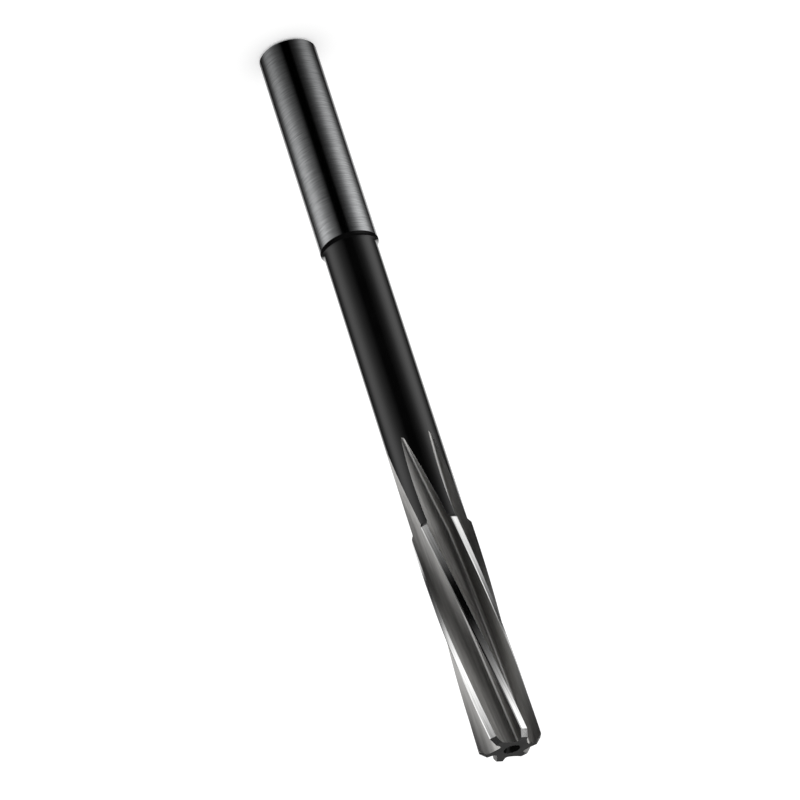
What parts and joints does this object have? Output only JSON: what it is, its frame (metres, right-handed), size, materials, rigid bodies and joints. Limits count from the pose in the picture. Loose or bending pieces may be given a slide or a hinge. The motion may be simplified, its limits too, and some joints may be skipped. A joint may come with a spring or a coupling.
{
  "type": "machine reamer",
  "caption": "One-piece machine reamer: bright cylindrical shank, blackened thinner neck, and a ground cutting part with left-hand helical flutes and a chamfered lead.",
  "frame": {"origin": "centre of the shank's end face", "axes": "+Z along the tool's axis, from the shank's end face to the cutting end; +X lies in the radial cutting face of one tooth at the cutting end"},
  "size_m": [0.01, 0.01, 0.133],
  "materials": {
    "ground_steel": "high-speed steel: ground bright on the shank, lands and flutes, black oxide on the neck"
  },
  "bodies": {
    "root": {"machine_reamer": "ground_steel"}
  },
  "joints": []
}
